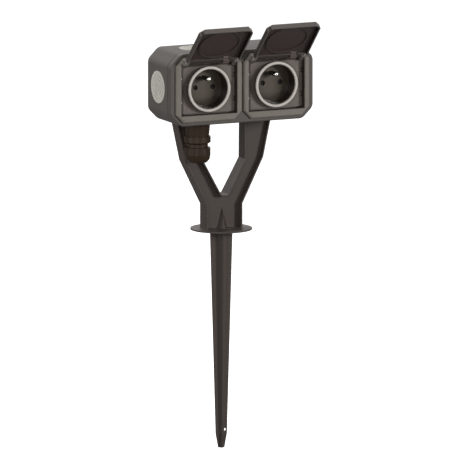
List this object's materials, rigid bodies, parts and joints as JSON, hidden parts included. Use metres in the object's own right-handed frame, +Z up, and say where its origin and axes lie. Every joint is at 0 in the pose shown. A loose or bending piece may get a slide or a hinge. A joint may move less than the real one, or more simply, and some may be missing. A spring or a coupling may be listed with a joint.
{
  "type": "ground spike socket outlet",
  "caption": "Outdoor socket box with hinged lids over earthed round wells, a cable gland and rubber entries, carried on a forked ground spike with a stop disc.",
  "frame": {"origin": "on the spike's axis at the underside of the stop disc, which is ground level", "axes": "+X to the right along the box seen from the front, +Y to the back, +Z up along the spike"},
  "size_m": [0.157, 0.13, 0.4425],
  "materials": {
    "spike_plastic": "fine grained moulding, anthracite",
    "box_plastic": "fine grained moulding, anthracite grey",
    "cover_plastic": "fine grained moulding, anthracite grey",
    "frame_plastic": "satin moulding, anthracite",
    "plate_plastic": "spark-eroded grain, anthracite grey",
    "lid_plastic": "satin moulding, dark anthracite",
    "gland_plastic": "satin moulding, near black",
    "carrier_plastic": "plain moulding, off white",
    "shutter_plastic": "plain moulding, near black",
    "ring_rubber": "soft seal, light grey",
    "membrane_rubber": "soft membrane, light warm grey",
    "seal_rubber": "soft seal, near black",
    "gasket_rubber": "soft gasket, black",
    "contact_brass": "plain stamped brass",
    "pin_nickel": "nickel plated",
    "pin_steel": "drawn stainless wire",
    "spring_steel": "drawn spring wire",
    "screw_steel": "zinc plated"
  },
  "bodies": {
    "housing": {"ground_spike": "spike_plastic", "fork_screws": "screw_steel", "fork_washers": "screw_steel", "rear_box": "box_plastic", "cover_gasket": "gasket_rubber", "front_cover": "cover_plastic", "cover_screws": "screw_steel", "side_membrane": "membrane_rubber", "top_membrane": "membrane_rubber", "gland_seal": "gasket_rubber", "gland_body": "gland_plastic", "gland_locknut": "gland_plastic", "gland_bush": "gasket_rubber", "frame_left": "frame_plastic", "socket_front_left": "plate_plastic", "ring_seal_left": "ring_rubber", "contact_carrier_left": "carrier_plastic", "carrier_screws_left": "screw_steel", "shutter_spring_left": "spring_steel", "live_contact_left": "contact_brass", "neutral_contact_left": "contact_brass", "earth_pin_left": "pin_nickel", "earth_strap_left": "contact_brass", "terminal_screws_left": "screw_steel", "hinge_pin_left": "pin_steel", "frame_right": "frame_plastic", "socket_front_right": "plate_plastic", "ring_seal_right": "ring_rubber", "contact_carrier_right": "carrier_plastic", "carrier_screws_right": "screw_steel", "shutter_spring_right": "spring_steel", "live_contact_right": "contact_brass", "neutral_contact_right": "contact_brass", "earth_pin_right": "pin_nickel", "earth_strap_right": "contact_brass", "terminal_screws_right": "screw_steel", "hinge_pin_right": "pin_steel", "live_link": "contact_brass", "neutral_link": "contact_brass", "earth_link": "contact_brass"},
    "lid_left": {"lid_left": "lid_plastic", "lid_seal_left": "seal_rubber"},
    "shutter_left": {"shutter_left": "shutter_plastic"},
    "lid_right": {"lid_right": "lid_plastic", "lid_seal_right": "seal_rubber"},
    "shutter_right": {"shutter_right": "shutter_plastic"},
    "gland_nut": {"gland_nut": "gland_plastic"}
  },
  "joints": [
    {"name": "lid_left_hinge", "type": "hinge", "parent": "housing", "child": "lid_left", "pos_m": [-0.0372, -0.057, 0.1817], "axis": [1, 0, 0], "range_deg": [0, 135]},
    {"name": "shutter_left_slide", "type": "slide", "parent": "housing", "child": "shutter_left", "axis": [0, 0, -1], "range_m": [0, 0.0064], "stiffness_N_per_m": 60, "springref_m": -0.004, "deforming": ["shutter_spring_left"]},
    {"name": "lid_right_hinge", "type": "hinge", "parent": "housing", "child": "lid_right", "pos_m": [0.0372, -0.057, 0.1817], "axis": [1, 0, 0], "range_deg": [0, 135]},
    {"name": "shutter_right_slide", "type": "slide", "parent": "housing", "child": "shutter_right", "axis": [0, 0, -1], "range_m": [0, 0.0064], "stiffness_N_per_m": 60, "springref_m": -0.004, "deforming": ["shutter_spring_right"]},
    {"name": "gland_nut_turn", "type": "hinge", "parent": "housing", "child": "gland_nut", "pos_m": [-0.0372, -0.024, 0.081], "axis": [0, 0, 1], "continuous": true}
  ]
}
